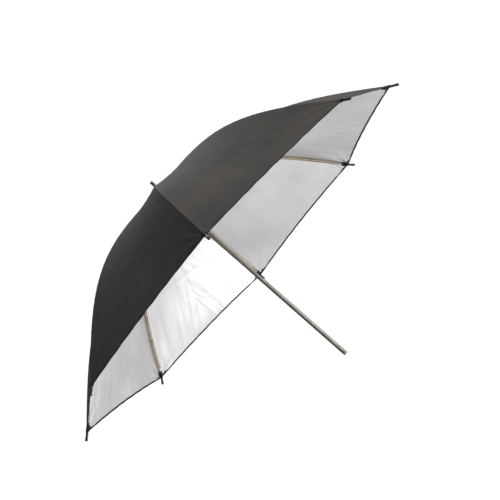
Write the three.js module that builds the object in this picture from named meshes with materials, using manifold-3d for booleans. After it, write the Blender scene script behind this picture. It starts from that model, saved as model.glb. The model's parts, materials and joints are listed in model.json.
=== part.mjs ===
// Studio umbrella reflector: an eight-rib folding frame on a straight tubular shaft, with a
// canopy that is black outside and silver inside. Millimetres, +Z along the shaft towards the
// ferrule, origin on the shaft's axis where an umbrella bracket clamps it.
import * as THREE from 'three';
import { mergeVertices } from 'three/addons/utils/BufferGeometryUtils.js';
import Module from 'manifold-3d';

// Driving dimensions
const RIBS = 8;
const RIM_Z = 229;              // plane of the canopy's corners, above the clamp
const RIB_LENGTH = 467;         // along the cloth, from the crown hinge to the corner
const PITCH_AT_CROWN = 0.1314;  // rad below horizontal, where the rib leaves the crown
const MOST_BEND = 0.002576;     // rad per mm, the open rib's curvature where it is greatest
const BEND_AT = 206;            // where that is, along the rib
const PANEL_SAG = 0.031;        // how far a gore dips between its ribs, over its width
const TAUT_FROM_HEM = 200;      // the dip fades out over this length, to a straight hem
const HEM_SCALLOP = 6;          // how far the hem draws back between two corners
const CLOTH = 1;
const CLOTH_START = 3.5;
const GAP = 0.3;                // between neighbouring pieces
const HINGE_R = 8;              // of both wire rings, which the ribs and stretchers turn on
const RIB = { width: 3.8, depth: 3.2, wall: 0.6, drop: 3.7 };
const STRETCHER = { width: 3.2, depth: 2.6, wall: 0.6 };
const PIVOT_AT = 187;           // the stretcher's rivet, along the rib
const PIVOT_DROP = 0.6;         // the rivet lies this far below the rib's centre line
const TONGUE = { thick: 1.4, eye: 2, hole: 0.85, reach: 12 };
const RING = { outer: 12, lip: 1.4, groove: 0.8, core: 5.7, wire: 0.5 };
const SHAFT = { radius: 4, bore: 3.4, end: -30 };
const FERRULE_TOP = 446.7;
const RUNNER_SLEEVE = 26;
const STUB = 16;                // the rib tip, beyond the canopy's corner
const TIP = { long: 17.5, wide: 3.3, high: 2.1, depth: 1.6, lift: 0.117 };

const STEP = 2 * Math.PI / RIBS;
const HALF_STEP = STEP / 2;
const wasm = await Module();
wasm.setup();

// The open rib: an elastic strip, straight at its ends and bent most near the stretcher.
function pitchAt(s) {
  if (s <= BEND_AT) return PITCH_AT_CROWN + MOST_BEND * s * s / (2 * BEND_AT);
  const past = Math.min(s, RIB_LENGTH) - BEND_AT;
  const left = RIB_LENGTH - BEND_AT;
  return PITCH_AT_CROWN + MOST_BEND * (BEND_AT / 2 + past - past * past / (2 * left));
}

function runAndDrop(s) {
  const steps = 60;
  let run = 0;
  let drop = 0;
  for (let i = 0; i < steps; i++) {
    const pitch = pitchAt((i + 0.5) * s / steps);
    run += Math.cos(pitch) * s / steps;
    drop += Math.sin(pitch) * s / steps;
  }
  return { run, drop };
}

const START_R = HINGE_R + RIB.drop * Math.sin(PITCH_AT_CROWN);
const START_Z = RIM_Z + runAndDrop(RIB_LENGTH).drop;

// A point of the rib plane, at s along the cloth's outer surface and depth inside it.
function ribPoint(s, depth) {
  const { run, drop } = runAndDrop(s);
  const pitch = pitchAt(s);
  return {
    r: START_R + run - depth * Math.sin(pitch),
    z: START_Z - drop - depth * Math.cos(pitch),
    pitch,
  };
}

const CROWN_Z = ribPoint(0, RIB.drop).z;
const PIVOT = ribPoint(PIVOT_AT, RIB.drop + PIVOT_DROP);
const RUNNER_Z = 2 * PIVOT.z - CROWN_Z;   // equal arms, so the runner ring mirrors the crown's
const ARM = Math.hypot(PIVOT.r - HINGE_R, PIVOT.z - CROWN_Z);
const ARM_SLOPE = Math.atan2(PIVOT.z - RUNNER_Z, PIVOT.r - HINGE_R);

// Solids
function solid(geometry) {
  const bare = geometry.clone();
  bare.deleteAttribute('normal');
  bare.deleteAttribute('uv');
  const merged = mergeVertices(bare, 1e-4);
  return new wasm.Manifold(new wasm.Mesh({
    numProp: 3,
    vertProperties: merged.attributes.position.array,
    triVerts: new Uint32Array(merged.index.array),
  }));
}

function join(base, added, removed) {
  let body = solid(base);
  for (const geometry of added) body = body.add(solid(geometry));
  for (const geometry of removed) body = body.subtract(solid(geometry));
  const mesh = body.getMesh();
  const geometry = new THREE.BufferGeometry();
  geometry.setAttribute('position', new THREE.BufferAttribute(mesh.vertProperties, 3));
  geometry.setIndex(new THREE.BufferAttribute(mesh.triVerts, 1));
  return geometry;
}

function box(x, y, z, at) {
  return new THREE.BoxGeometry(x, y, z).translate(...at);
}

function rodAlongY(radius, length, sides = 10) {
  return new THREE.CylinderGeometry(radius, radius, length, sides);
}

// A turned piece: profile is a list of [radius, z], from low to high on the outside.
function turned(profile, sides = 24) {
  const points = profile.map(([r, z]) => new THREE.Vector2(r, z));
  return new THREE.LatheGeometry(points, sides).rotateX(Math.PI / 2);
}

function ring(outer, inner, low, high, sides = 24) {
  return turned([[inner, low], [outer, low], [outer, high], [inner, high], [inner, low]], sides);
}

// A channel's section: x across, y away from its web.
function channelSection({ width, depth, wall }) {
  const w = width / 2;
  const d = depth / 2;
  const inner = w - wall;
  const shape = new THREE.Shape();
  shape.moveTo(-w, -d);
  shape.lineTo(w, -d);
  shape.lineTo(w, d);
  shape.lineTo(inner, d);
  shape.lineTo(inner, wall - d);
  shape.lineTo(-inner, wall - d);
  shape.lineTo(-inner, d);
  shape.lineTo(-w, d);
  shape.closePath();
  return shape;
}

// A flat lever in the XZ plane with an eye at the origin, running to x = length.
function eyePlate(length, high, eye, hole, thick) {
  const shape = new THREE.Shape();
  const lean = Math.asin(Math.min(1, high / 2 / eye));
  shape.absarc(0, 0, eye, lean, 2 * Math.PI - lean, false);
  shape.lineTo(length, -high / 2);
  shape.lineTo(length, high / 2);
  shape.closePath();
  const opening = new THREE.Path();
  opening.absarc(0, 0, hole, 0, 2 * Math.PI, true);
  shape.holes.push(opening);
  const settings = { depth: thick, bevelEnabled: false, curveSegments: 4 };
  return new THREE.ExtrudeGeometry(shape, settings).translate(0, 0, -thick / 2).rotateX(Math.PI / 2);
}

// Materials
function finish(color, roughness, metalness) {
  return new THREE.MeshStandardMaterial({ color, roughness, metalness });
}

const platedSteel = finish(0x9a958e, 0.32, 1);
const shaftSteel = finish(0x85837e, 0.38, 1);
const brightMetal = finish(0xb9b2a8, 0.22, 1);
const blackPlastic = finish(0x141414, 0.35, 0);
const greyPlastic = finish(0x4a4845, 0.45, 0);
const endPlastic = finish(0x6b5a4a, 0.5, 0);
const cloth = finish(0x2e2d2c, 0.8, 0);

function piece(name, geometry, material) {
  const mesh = new THREE.Mesh(geometry, material);
  mesh.name = name;
  return mesh;
}

// Shaft and what is fixed to it
const washerLow = ribPoint(CLOTH_START, 0).z + GAP;
const washerHigh = washerLow + 1;
const crownPinZ = CROWN_Z - 3.6;
const stopPinZ = RUNNER_Z + 3.4;
const catchZ = RUNNER_Z - RUNNER_SLEEVE - 2 * GAP;
const CATCH = { wide: 2.4, long: 18, inner: 1.9, outer: 2.7, nose: 5.6, slope: 9 };

function shaftTube() {
  const tube = ring(SHAFT.radius, SHAFT.bore, SHAFT.end + 4.5 + GAP, washerHigh);
  const crownHole = rodAlongY(1.1, 12).rotateZ(HALF_STEP).translate(0, 0, crownPinZ);
  const stopHole = rodAlongY(1.1, 12).rotateZ(HALF_STEP).translate(0, 0, stopPinZ);
  const slotLow = catchZ - CATCH.slope - 1;
  const slotHigh = catchZ + 3 * GAP;
  const slot = box(4, CATCH.wide + 2 * GAP, slotHigh - slotLow, [4, 0, (slotLow + slotHigh) / 2]);
  return join(tube, [], [crownHole, stopHole, slot.rotateZ(HALF_STEP)]);
}

function ferrule() {
  const low = washerHigh + GAP;
  return turned([
    [0, low - 6], [3.05, low - 6], [3.05, low], [4.6, low], [4.6, low + 1.4], [3.05, low + 1.8],
    [3.05, FERRULE_TOP - 0.7], [2.4, FERRULE_TOP], [0, FERRULE_TOP],
  ]);
}

function endPlug() {
  const head = SHAFT.end + 4.5;
  return turned([
    [0, SHAFT.end], [3.4, SHAFT.end], [4, SHAFT.end + 0.6], [4, head], [3.1, head],
    [3.1, head + 12], [0, head + 12],
  ]);
}

// The notched ring that holds hinge wire: a groove for the wire, and a slot for each arm.
function notches(low) {
  const cuts = [];
  for (let i = 0; i < RIBS; i++) {
    const cut = box(7, TONGUE.thick + 2 * GAP, RING.lip - low + 2, [RING.core + 3.5, 0, 0]);
    cuts.push(cut.translate(0, 0, (low + RING.lip) / 2).rotateZ(i * STEP));
  }
  return cuts;
}

function grooved(low, bore) {
  const floor = HINGE_R - RING.groove;
  return [
    [bore, low], [RING.outer, low], [RING.outer, -RING.groove], [floor, -RING.groove],
    [floor, RING.groove], [RING.outer, RING.groove], [RING.outer, RING.lip], [bore, RING.lip],
    [bore, low],
  ];
}

function crown() {
  const low = -6;
  const pinHole = rodAlongY(1.1, 30).rotateZ(HALF_STEP).translate(0, 0, crownPinZ - CROWN_Z);
  return join(turned(grooved(low, SHAFT.radius + GAP)), [], [...notches(low), pinHole]);
}

function runner() {
  const bore = SHAFT.radius + 0.5;
  const low = -3.4;
  const profile = [
    [bore, -RUNNER_SLEEVE], [7.4, -RUNNER_SLEEVE], [7.4, 3 - RUNNER_SLEEVE],
    [6.2, 4 - RUNNER_SLEEVE], [6.2, low - 1.6], [9, low], ...grooved(low, bore).slice(1, 8),
    [bore, -RUNNER_SLEEVE],
  ];
  return join(turned(profile), [], notches(low));
}

function hingeWire() {
  return new THREE.TorusGeometry(HINGE_R, RING.wire, 6, 24);
}

function runnerCatch() {
  const outline = new THREE.Shape();
  outline.moveTo(CATCH.inner, -CATCH.long);
  outline.lineTo(CATCH.outer, -CATCH.long);
  outline.lineTo(CATCH.outer, -CATCH.slope);
  outline.lineTo(CATCH.nose, -1);
  outline.lineTo(CATCH.nose, 0);
  outline.lineTo(CATCH.inner, 0);
  outline.closePath();
  const settings = { depth: CATCH.wide, bevelEnabled: false };
  const leaf = new THREE.ExtrudeGeometry(outline, settings);
  return leaf.translate(0, 0, -CATCH.wide / 2).rotateX(Math.PI / 2);
}

// One arm of the frame, in the plane y = 0
class RibLine extends THREE.Curve {
  getPoint(t, target = new THREE.Vector3()) {
    const last = RIB_LENGTH - 19;
    const { r, z } = ribPoint(TONGUE.reach + t * (last - TONGUE.reach), RIB.drop);
    return target.set(r, 0, z);
  }
}

// The corner's cap lies a little flatter than the rib, and comes up through the cloth.
function atTip() {
  const { r, z, pitch } = ribPoint(RIB_LENGTH, TIP.depth);
  const turn = new THREE.Matrix4().makeRotationY(pitch - TIP.lift);
  return turn.setPosition(r, 0, z);
}

function onRib(geometry, s) {
  const { r, z, pitch } = ribPoint(s, RIB.drop);
  return geometry.rotateY(pitch).translate(r, 0, z);
}

function rib() {
  const settings = { steps: 12, bevelEnabled: false, extrudePath: new RibLine() };
  const channel = new THREE.ExtrudeGeometry(channelSection(RIB), settings);
  const root = eyePlate(TONGUE.reach + 8, 2.8, TONGUE.eye, TONGUE.hole, TONGUE.thick);
  const tab = box(20, 2.8, 2, [-14, 0, 0]).applyMatrix4(atTip());
  const hole = rodAlongY(1.2, 8, 8);
  hole.rotateY(PIVOT.pitch).translate(PIVOT.r, 0, PIVOT.z);
  return join(channel, [onRib(root, 0), tab], [hole]);
}

function ribTip() {
  const cap = new THREE.CylinderGeometry(1, 1, TIP.long, 12).rotateZ(Math.PI / 2);
  cap.scale(1, TIP.wide, TIP.high).translate(-0.5 - TIP.long / 2, 0, 0);
  const stub = turned([
    [0, -3], [1.9, -3], [2.1, 1], [2.2, STUB - 5], [2.65, STUB - 3.6], [2.6, STUB - 1],
    [1.7, STUB], [0, STUB],
  ], 10).rotateY(Math.PI / 2);
  const pocket = box(17, 3.4, 2.6, [-12, 0, 0]);
  return join(cap, [stub], [pocket]);
}

function rivet() {
  return turned([
    [0, -3.6], [1.2, -3.6], [1.6, -3.1], [0.9, -3.1], [0.9, 3.1], [1.6, 3.1], [1.2, 3.6], [0, 3.6],
  ], 8).rotateX(Math.PI / 2);
}

// The stretcher: x runs from the rib's rivet to the runner, and its web faces +z.
function stretcher() {
  const barStart = 12;
  const barEnd = ARM - TONGUE.reach;
  const settings = { depth: barEnd - barStart, bevelEnabled: false };
  const bar = new THREE.ExtrudeGeometry(channelSection(STRETCHER), settings);
  bar.rotateX(-Math.PI / 2).rotateZ(-Math.PI / 2).translate(barStart, 0, 0);
  const webZ = STRETCHER.depth / 2 - 0.3;
  const ears = [-1, 1].map((side) =>
    eyePlate(14, 2.6, 2, 1.2, 0.6).translate(0, side * 2.5, 0));
  const bridge = box(7, 5.6, 0.6, [10.5, 0, webZ]);
  const tongue = eyePlate(TONGUE.reach + 5, 2.6, TONGUE.eye, TONGUE.hole, TONGUE.thick);
  tongue.rotateZ(Math.PI).translate(ARM, 0, 0);
  return join(bar, [bridge, ...ears, tongue], []);
}

// The canopy's part nearest one rib: half a gore on each side. A box of cloth is bent to it.
function clothPoint(along, across, inside) {
  const side = Math.sign(across);
  const widest = ribPoint(RIB_LENGTH * along, 0).r * 2 * Math.sin(HALF_STEP);
  const share = Math.abs(across) * (0.5 - GAP / 2 / Math.max(widest, 8));
  const bow = 4 * share * (1 - share);
  const s = CLOTH_START + along * (RIB_LENGTH - HEM_SCALLOP * bow - CLOTH_START);
  const { r, z, pitch } = ribPoint(s, 0);
  const chord = 2 * r * Math.sin(HALF_STEP);
  const slack = Math.min(1, (RIB_LENGTH - s) / TAUT_FROM_HEM);
  const sag = PANEL_SAG * chord * bow * slack * (2 - slack);
  const turn = HALF_STEP * 2 * share;
  const inward = new THREE.Vector3(
    -Math.sin(pitch) * Math.cos(turn), -side * Math.sin(pitch) * Math.sin(turn), -Math.cos(pitch));
  const dip = new THREE.Vector3(
    -Math.sin(pitch) * Math.cos(HALF_STEP), -side * Math.sin(pitch) * Math.sin(HALF_STEP),
    -Math.cos(pitch));
  const point = new THREE.Vector3(r, 0, z);
  const width = new THREE.Vector3(-Math.sin(HALF_STEP), side * Math.cos(HALF_STEP), 0);
  point.addScaledVector(width, chord * share);
  return point.addScaledVector(dip, sag).addScaledVector(inward, CLOTH * inside);
}

function canopyPanel() {
  const sheet = new THREE.BoxGeometry(1, 1, 1, 12, 8, 1);
  const position = sheet.attributes.position;
  for (let i = 0; i < position.count; i++) {
    const along = position.getX(i) + 0.5;
    const point = clothPoint(along, 2 * position.getY(i), 0.5 - position.getZ(i));
    position.setXYZ(i, point.x, point.y, point.z);
  }
  const slot = box(24, 2 * (TIP.wide + GAP), 8, [-4.5, 0, 0]);
  return join(sheet, [], [slot.applyMatrix4(atTip())]);
}

// Assembly
const umbrella = new THREE.Group();

function place(parent, mesh, r, z, turn = 0) {
  mesh.position.set(r, 0, z);
  mesh.rotation.y = turn;
  parent.add(mesh);
}

umbrella.add(piece('shaft', shaftTube(), shaftSteel));
umbrella.add(piece('shaft_end_plug', endPlug(), endPlastic));
umbrella.add(piece('ferrule', ferrule(), brightMetal));
umbrella.add(piece('canopy_washer', ring(14, 4.3, washerLow, washerHigh), blackPlastic));
place(umbrella, piece('crown', crown(), greyPlastic), 0, CROWN_Z);
place(umbrella, piece('crown_wire', hingeWire(), platedSteel), 0, CROWN_Z);
place(umbrella, piece('runner', runner(), greyPlastic), 0, RUNNER_Z);
place(umbrella, piece('runner_wire', hingeWire(), platedSteel), 0, RUNNER_Z);

const pins = new THREE.Group();
pins.rotation.z = HALF_STEP;
umbrella.add(pins);
place(pins, piece('crown_pin', rodAlongY(0.8, 23), platedSteel), 0, crownPinZ);
place(pins, piece('runner_stop_pin', rodAlongY(0.8, 11), platedSteel), 0, stopPinZ);
place(pins, piece('runner_catch', runnerCatch(), platedSteel), 0, catchZ);

for (let i = 0; i < RIBS; i++) {
  const arm = new THREE.Group();
  arm.rotation.z = i * STEP;
  umbrella.add(arm);
  const number = i + 1;
  arm.add(piece(`rib_${number}`, rib(), platedSteel));
  arm.add(piece(`canopy_panel_${number}`, canopyPanel(), cloth));
  const tip = piece(`rib_tip_${number}`, ribTip(), blackPlastic);
  tip.applyMatrix4(atTip());
  arm.add(tip);
  place(arm, piece(`stretcher_rivet_${number}`, rivet(), platedSteel), PIVOT.r, PIVOT.z);
  place(arm, piece(`stretcher_${number}`, stretcher(), platedSteel), PIVOT.r, PIVOT.z,
    Math.PI - ARM_SLOPE);
}

export default umbrella;
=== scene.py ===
"""A folding studio umbrella reflector: black nylon outside, silver coating inside, on a steel frame."""

import json
import math

import bmesh
import bpy
import numpy as np
from mathutils import Matrix, Vector, noise


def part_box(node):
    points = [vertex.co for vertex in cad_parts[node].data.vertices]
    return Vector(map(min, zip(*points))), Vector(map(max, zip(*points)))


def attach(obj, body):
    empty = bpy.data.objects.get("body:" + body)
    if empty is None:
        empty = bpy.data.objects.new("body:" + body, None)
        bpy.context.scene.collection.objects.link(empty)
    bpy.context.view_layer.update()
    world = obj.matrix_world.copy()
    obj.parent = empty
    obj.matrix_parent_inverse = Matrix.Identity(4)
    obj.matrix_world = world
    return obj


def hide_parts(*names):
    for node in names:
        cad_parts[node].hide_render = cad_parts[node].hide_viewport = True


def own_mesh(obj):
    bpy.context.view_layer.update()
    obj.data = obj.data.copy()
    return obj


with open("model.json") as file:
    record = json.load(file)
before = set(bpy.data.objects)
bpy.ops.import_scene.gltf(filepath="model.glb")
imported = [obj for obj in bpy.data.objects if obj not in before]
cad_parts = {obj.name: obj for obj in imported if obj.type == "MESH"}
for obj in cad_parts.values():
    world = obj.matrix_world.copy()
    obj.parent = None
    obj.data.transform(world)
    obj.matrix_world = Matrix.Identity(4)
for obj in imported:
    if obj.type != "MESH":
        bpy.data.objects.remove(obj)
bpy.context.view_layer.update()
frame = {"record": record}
MM = 0.001
JOINTS = {joint["name"]: joint for joint in frame["record"]["behaviour"]["joints"]}

# The frame's three hinges in the plane of rib 1, and how far it folds
CROWN = Vector(JOINTS["rib_1_fold"]["pos_m"])
RIVET = Vector(JOINTS["stretcher_1_pivot"]["pos_m"])
RUNNER = Vector(JOINTS["runner_travel"]["pos_m"])
FOLD = math.radians(JOINTS["rib_1_fold"]["range_deg"][1])

# The open rib: an elastic strip, straight at its ends and bent most near the stretcher
RIBS = 8
STEP = 2 * math.pi / RIBS
HALF_STEP = STEP / 2
RIB_LENGTH = 467 * MM
PITCH_AT_CROWN = 0.1314
MOST_BEND = 2.576           # rad per metre
BEND_AT = 206 * MM
RIB_DROP = 3.7 * MM         # from the cloth's outside to the rib's centre line
RIB_WIDTH, RIB_DEPTH, WALL = 3.8 * MM, 3.2 * MM, 0.6 * MM
STRETCHER_WIDTH, STRETCHER_DEPTH = 3.2 * MM, 2.6 * MM
TONGUE_REACH = 12 * MM      # where a channel starts, past its hinge
TONGUE = 1.4 * MM
CAP = 19 * MM               # the rib's end, which the tip's cap and pocket cover
STUB = 16 * MM              # the tip, beyond the canopy's corner
TIP_DEPTH = 1.6 * MM        # of the tip's centre line, under the cloth's outside at the corner
TIP_LIFT = 0.117            # rad, how much flatter than the rib the tip lies

# The canopy
PANEL_SAG = 0.031           # of the chord from rib to rib
TAUT_FROM_HEM = 200 * MM    # the sag fades out over this length, to a straight hem
HEM_SCALLOP = 6 * MM
CLOTH_START = -1 * MM       # along the rib, under the washer
CLOTH_INSET = 0.6 * MM      # from the outside of the design's canopy to the cloth's
CLOTH = 0.3 * MM
SECTION_GRID = (65, 161)    # points across and along the cloth nearest one rib
HEM_OUTSIDE, HEM_INSIDE = 6 * MM, 3.6 * MM
TAPE = 0.22 * MM
STITCH = 3 * MM
THREAD_SPACING = 0.9 * MM   # the real 0.13 mm is too fine to show
PACKET_FOLDS = 150 * MM
ALLOWANCE = 4 * MM          # on each side of a seam, past the part near the crown


# ---------- the rib's line ----------

def pitch_at(s):
    """The rib's slope at s along it: it bends most at BEND_AT, and not at all at its ends."""
    s = np.minimum(np.asarray(s, float), RIB_LENGTH)
    past, left = s - BEND_AT, RIB_LENGTH - BEND_AT
    rising = MOST_BEND * np.maximum(s, 0) ** 2 / (2 * BEND_AT)
    falling = MOST_BEND * (BEND_AT / 2 + past - past**2 / (2 * left))
    return PITCH_AT_CROWN + np.where(s <= BEND_AT, rising, falling)


def line_table():
    """Places along the rib's line, and the run and the drop to each, summed in small steps."""
    places = np.linspace(-20 * MM, RIB_LENGTH + 30 * MM, 4001)
    step = places[1] - places[0]
    middle = pitch_at(places[:-1] + step / 2)
    run = np.concatenate([[0], np.cumsum(np.cos(middle)) * step])
    drop = np.concatenate([[0], np.cumsum(np.sin(middle)) * step])
    return places, run - np.interp(0, places, run), drop - np.interp(0, places, drop)


PLACES, RUN, DROP = line_table()
START_R = CROWN.x + RIB_DROP * math.sin(PITCH_AT_CROWN)
START_Z = CROWN.z + RIB_DROP * math.cos(PITCH_AT_CROWN)


def rib_line(s, depth=0.0):
    """Radius, height and pitch at s along the cloth's outside, and depth inside it."""
    pitch = pitch_at(s)
    radius = START_R + np.interp(s, PLACES, RUN) - depth * np.sin(pitch)
    height = START_Z - np.interp(s, PLACES, DROP) - depth * np.cos(pitch)
    return radius, height, pitch


def on_rib(s, depth):
    """A matrix at a place on rib 1: x out along the rib, y across it, z out through the cloth."""
    radius, height, pitch = (float(v) for v in rib_line(s, depth))
    return Matrix.Translation((radius, 0, height)) @ Matrix.Rotation(pitch, 4, "Y")


def around(number):
    """The turn about the shaft from rib 1 to this rib."""
    return Matrix.Rotation((number - 1) * STEP, 4, "Z")


# ---------- colours and nodes ----------

def linear(hex_colour):
    """An sRGB hex colour as linear RGBA."""
    parts = [int(hex_colour[i:i + 2], 16) / 255 for i in (1, 3, 5)]
    return tuple(c / 12.92 if c <= 0.04045 else ((c + 0.055) / 1.055) ** 2.4 for c in parts) + (1.0,)


def add(tree, kind, inputs=(), output=0, ramp=(), **settings):
    """Adds a node with its settings, its ramp's colours, and a value or a link on each input."""
    made = tree.nodes.new(kind)
    for name, value in settings.items():
        setattr(made, name, value)
    for key, value in dict(inputs).items():
        if isinstance(value, bpy.types.NodeSocket):
            tree.links.new(value, made.inputs[key])
        else:
            made.inputs[key].default_value = value
    for i, (place, colour) in enumerate(ramp):
        made.color_ramp.elements[i].position = place
        made.color_ramp.elements[i].color = linear(colour)
    return made.outputs[output] if made.outputs else None


def new_material(finish):
    """The material that a finish describes, under the finish's own name."""
    made = bpy.data.materials.new(finish.__name__)
    made.use_nodes = True
    tree = made.node_tree
    tree.nodes.clear()
    add(tree, "ShaderNodeOutputMaterial", {"Surface": finish(tree)})
    return made


# ---------- finishes: each gives its shader ----------

def nylon_grain(tree, cloth):
    """Heights of the plain weave, and of the folds that the packet left, on the cloth's plane."""
    bands = 2 * math.pi / 20 / THREAD_SPACING
    warp = add(tree, "ShaderNodeTexWave", {"Vector": cloth, "Scale": bands}, "Fac",
               bands_direction="X")
    weft = add(tree, "ShaderNodeTexWave", {"Vector": cloth, "Scale": bands}, "Fac",
               bands_direction="Y")
    woven = add(tree, "ShaderNodeMath", {0: warp, 1: weft}, operation="MULTIPLY")
    cells = add(tree, "ShaderNodeTexVoronoi", {"Vector": cloth, "Scale": 1 / PACKET_FOLDS},
                "Distance", feature="DISTANCE_TO_EDGE")
    folds = add(tree, "ShaderNodeMapRange", {"Value": cells, "From Max": 0.03, "To Min": 1.0,
                                             "To Max": 0.0})
    return woven, folds


def black_nylon_cloth(tree):
    # Black woven nylon with a dull face: dark grey in soft light, with a faint haze of fibres.
    # Its thread is 0.13 mm apart, too fine to show, so the weave is drawn at THREAD_SPACING
    cloth = add(tree, "ShaderNodeUVMap", uv_map="cloth")
    place = add(tree, "ShaderNodeTexCoord", output="Object")
    cloudy = add(tree, "ShaderNodeTexNoise", {"Vector": place, "Scale": 1 / (90 * MM), "Detail": 4})
    colour = add(tree, "ShaderNodeValToRGB", {"Fac": cloudy}, ramp=[(0.35, "#322f2c"), (0.65, "#3c3834")])
    worn = add(tree, "ShaderNodeTexNoise", {"Vector": place, "Scale": 1 / (12 * MM), "Detail": 5})
    dull = add(tree, "ShaderNodeMapRange", {"Value": worn, "To Min": 0.70, "To Max": 0.86})
    woven, folds = nylon_grain(tree, cloth)
    threads = add(tree, "ShaderNodeBump", {"Height": woven, "Distance": 0.12 * MM, "Strength": 0.5})
    lengthways = add(tree, "ShaderNodeMapping", {"Vector": cloth, "Scale": (1.0, 0.35, 1)})
    slack = add(tree, "ShaderNodeTexNoise", {"Vector": lengthways, "Scale": 1 / (26 * MM), "Detail": 4})
    slackened = add(tree, "ShaderNodeBump", {"Height": slack, "Distance": 0.9 * MM, "Strength": 0.45,
                                             "Normal": threads})
    creased = add(tree, "ShaderNodeBump", {"Height": folds, "Distance": 0.3 * MM, "Strength": 0.5,
                                           "Normal": slackened})
    return add(tree, "ShaderNodeBsdfPrincipled", {
        "Base Color": colour, "Roughness": dull, "Specular IOR Level": 0.3, "Sheen Weight": 0.06,
        "Sheen Roughness": 0.45, "Normal": creased})


def silver_coated_nylon(tree):
    # Aluminised coating on the same cloth: a soft, cloudy mirror that keeps the cloth's grain,
    # with soft wrinkles that run towards the crown
    cloth = add(tree, "ShaderNodeUVMap", uv_map="cloth")
    place = add(tree, "ShaderNodeTexCoord", output="Object")
    cloudy = add(tree, "ShaderNodeTexNoise", {"Vector": place, "Scale": 1 / (120 * MM), "Detail": 3})
    colour = add(tree, "ShaderNodeValToRGB", {"Fac": cloudy}, ramp=[(0.35, "#b1b0b2"), (0.65, "#bfbec0")])
    rubbed = add(tree, "ShaderNodeTexNoise", {"Vector": place, "Scale": 1 / (35 * MM), "Detail": 5})
    gloss = add(tree, "ShaderNodeMapRange", {"Value": rubbed, "To Min": 0.28, "To Max": 0.42})
    woven, folds = nylon_grain(tree, cloth)
    threads = add(tree, "ShaderNodeBump", {"Height": woven, "Distance": 0.06 * MM, "Strength": 0.35})
    lengthways = add(tree, "ShaderNodeMapping", {"Vector": cloth, "Scale": (1.6, 0.16, 1)})
    streaks = add(tree, "ShaderNodeTexNoise", {"Vector": lengthways, "Scale": 1 / (30 * MM), "Detail": 4})
    ridged = add(tree, "ShaderNodeBump", {"Height": streaks, "Distance": 2.2 * MM, "Strength": 0.6,
                                          "Normal": threads})
    crinkle = add(tree, "ShaderNodeTexNoise", {"Vector": cloth, "Scale": 1 / (16 * MM), "Detail": 5})
    crinkled = add(tree, "ShaderNodeBump", {"Height": crinkle, "Distance": 0.4 * MM, "Strength": 0.2,
                                            "Normal": ridged})
    creased = add(tree, "ShaderNodeBump", {"Height": folds, "Distance": 0.25 * MM, "Strength": 0.45,
                                           "Normal": crinkled})
    return add(tree, "ShaderNodeBsdfPrincipled", {
        "Base Color": colour, "Roughness": gloss, "Metallic": 0.92, "Normal": creased})


def black_hem_binding(tree):
    # Black polyester binding, folded over the cut edge: tighter and darker than the canopy
    place = add(tree, "ShaderNodeTexCoord", output="Object")
    fibres = add(tree, "ShaderNodeTexNoise", {"Vector": place, "Scale": 1 / (2.5 * MM), "Detail": 4})
    colour = add(tree, "ShaderNodeValToRGB", {"Fac": fibres}, ramp=[(0.35, "#0c0b0b"), (0.65, "#161414")])
    napped = add(tree, "ShaderNodeBump", {"Height": fibres, "Distance": 0.15 * MM, "Strength": 0.6})
    return add(tree, "ShaderNodeBsdfPrincipled", {
        "Base Color": colour, "Roughness": 0.85, "Specular IOR Level": 0.15, "Sheen Weight": 0.02,
        "Normal": napped})


def black_sewing_thread(tree):
    # Black bonded polyester thread with a slight shine on each twist
    place = add(tree, "ShaderNodeTexCoord", output="Object")
    twist = add(tree, "ShaderNodeTexNoise", {"Vector": place, "Scale": 1 / (0.8 * MM), "Detail": 2})
    colour = add(tree, "ShaderNodeValToRGB", {"Fac": twist}, ramp=[(0.35, "#080808"), (0.65, "#151515")])
    twisted = add(tree, "ShaderNodeBump", {"Height": twist, "Distance": 0.08 * MM, "Strength": 0.5})
    return add(tree, "ShaderNodeBsdfPrincipled", {
        "Base Color": colour, "Roughness": 0.6, "Specular IOR Level": 0.25, "Normal": twisted})


def plated_steel(tree, low, high, rough, drawn, grain=0.35 * MM):
    """Plated steel, drawn or rolled along one axis: fine lines that way, and faint smudges."""
    place = add(tree, "ShaderNodeTexCoord", output="Object")
    smudge = add(tree, "ShaderNodeTexNoise", {"Vector": place, "Scale": 1 / (14 * MM), "Detail": 5})
    colour = add(tree, "ShaderNodeValToRGB", {"Fac": smudge}, ramp=[(0.35, low), (0.65, high)])
    along = add(tree, "ShaderNodeMapping", {"Vector": place, "Scale": drawn})
    lines = add(tree, "ShaderNodeTexNoise", {"Vector": along, "Scale": 1 / grain, "Detail": 3})
    mixed = add(tree, "ShaderNodeMath", {0: smudge, 1: lines}, operation="MULTIPLY")
    satin = add(tree, "ShaderNodeMapRange", {"Value": mixed, "To Min": rough[0], "To Max": rough[1]})
    scored = add(tree, "ShaderNodeBump", {"Height": lines, "Distance": 0.01 * MM, "Strength": 0.15})
    return add(tree, "ShaderNodeBsdfPrincipled", {
        "Base Color": colour, "Roughness": satin, "Metallic": 1.0, "Normal": scored})


def satin_nickel_plated_tube(tree):
    # Nickel-plated steel tube, drawn along its length: satin, a little warm, dark at the edges
    return plated_steel(tree, "#75726b", "#86837b", (0.50, 0.68), (1, 1, 0.02))


def zinc_plated_spring_steel(tree):
    # Zinc-plated spring steel, rolled into a channel: warm grey, with a soft broken shine
    return plated_steel(tree, "#b9ad9b", "#d2c6b3", (0.34, 0.56), (0.2, 0.2, 0.2))


def bright_nickel_plated_ferrule(tree):
    # Turned steel, bright nickel plate, with the tool's rings around it
    return plated_steel(tree, "#8e8478", "#a89e92", (0.12, 0.3), (0.2, 0.2, 4), 0.6 * MM)


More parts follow.
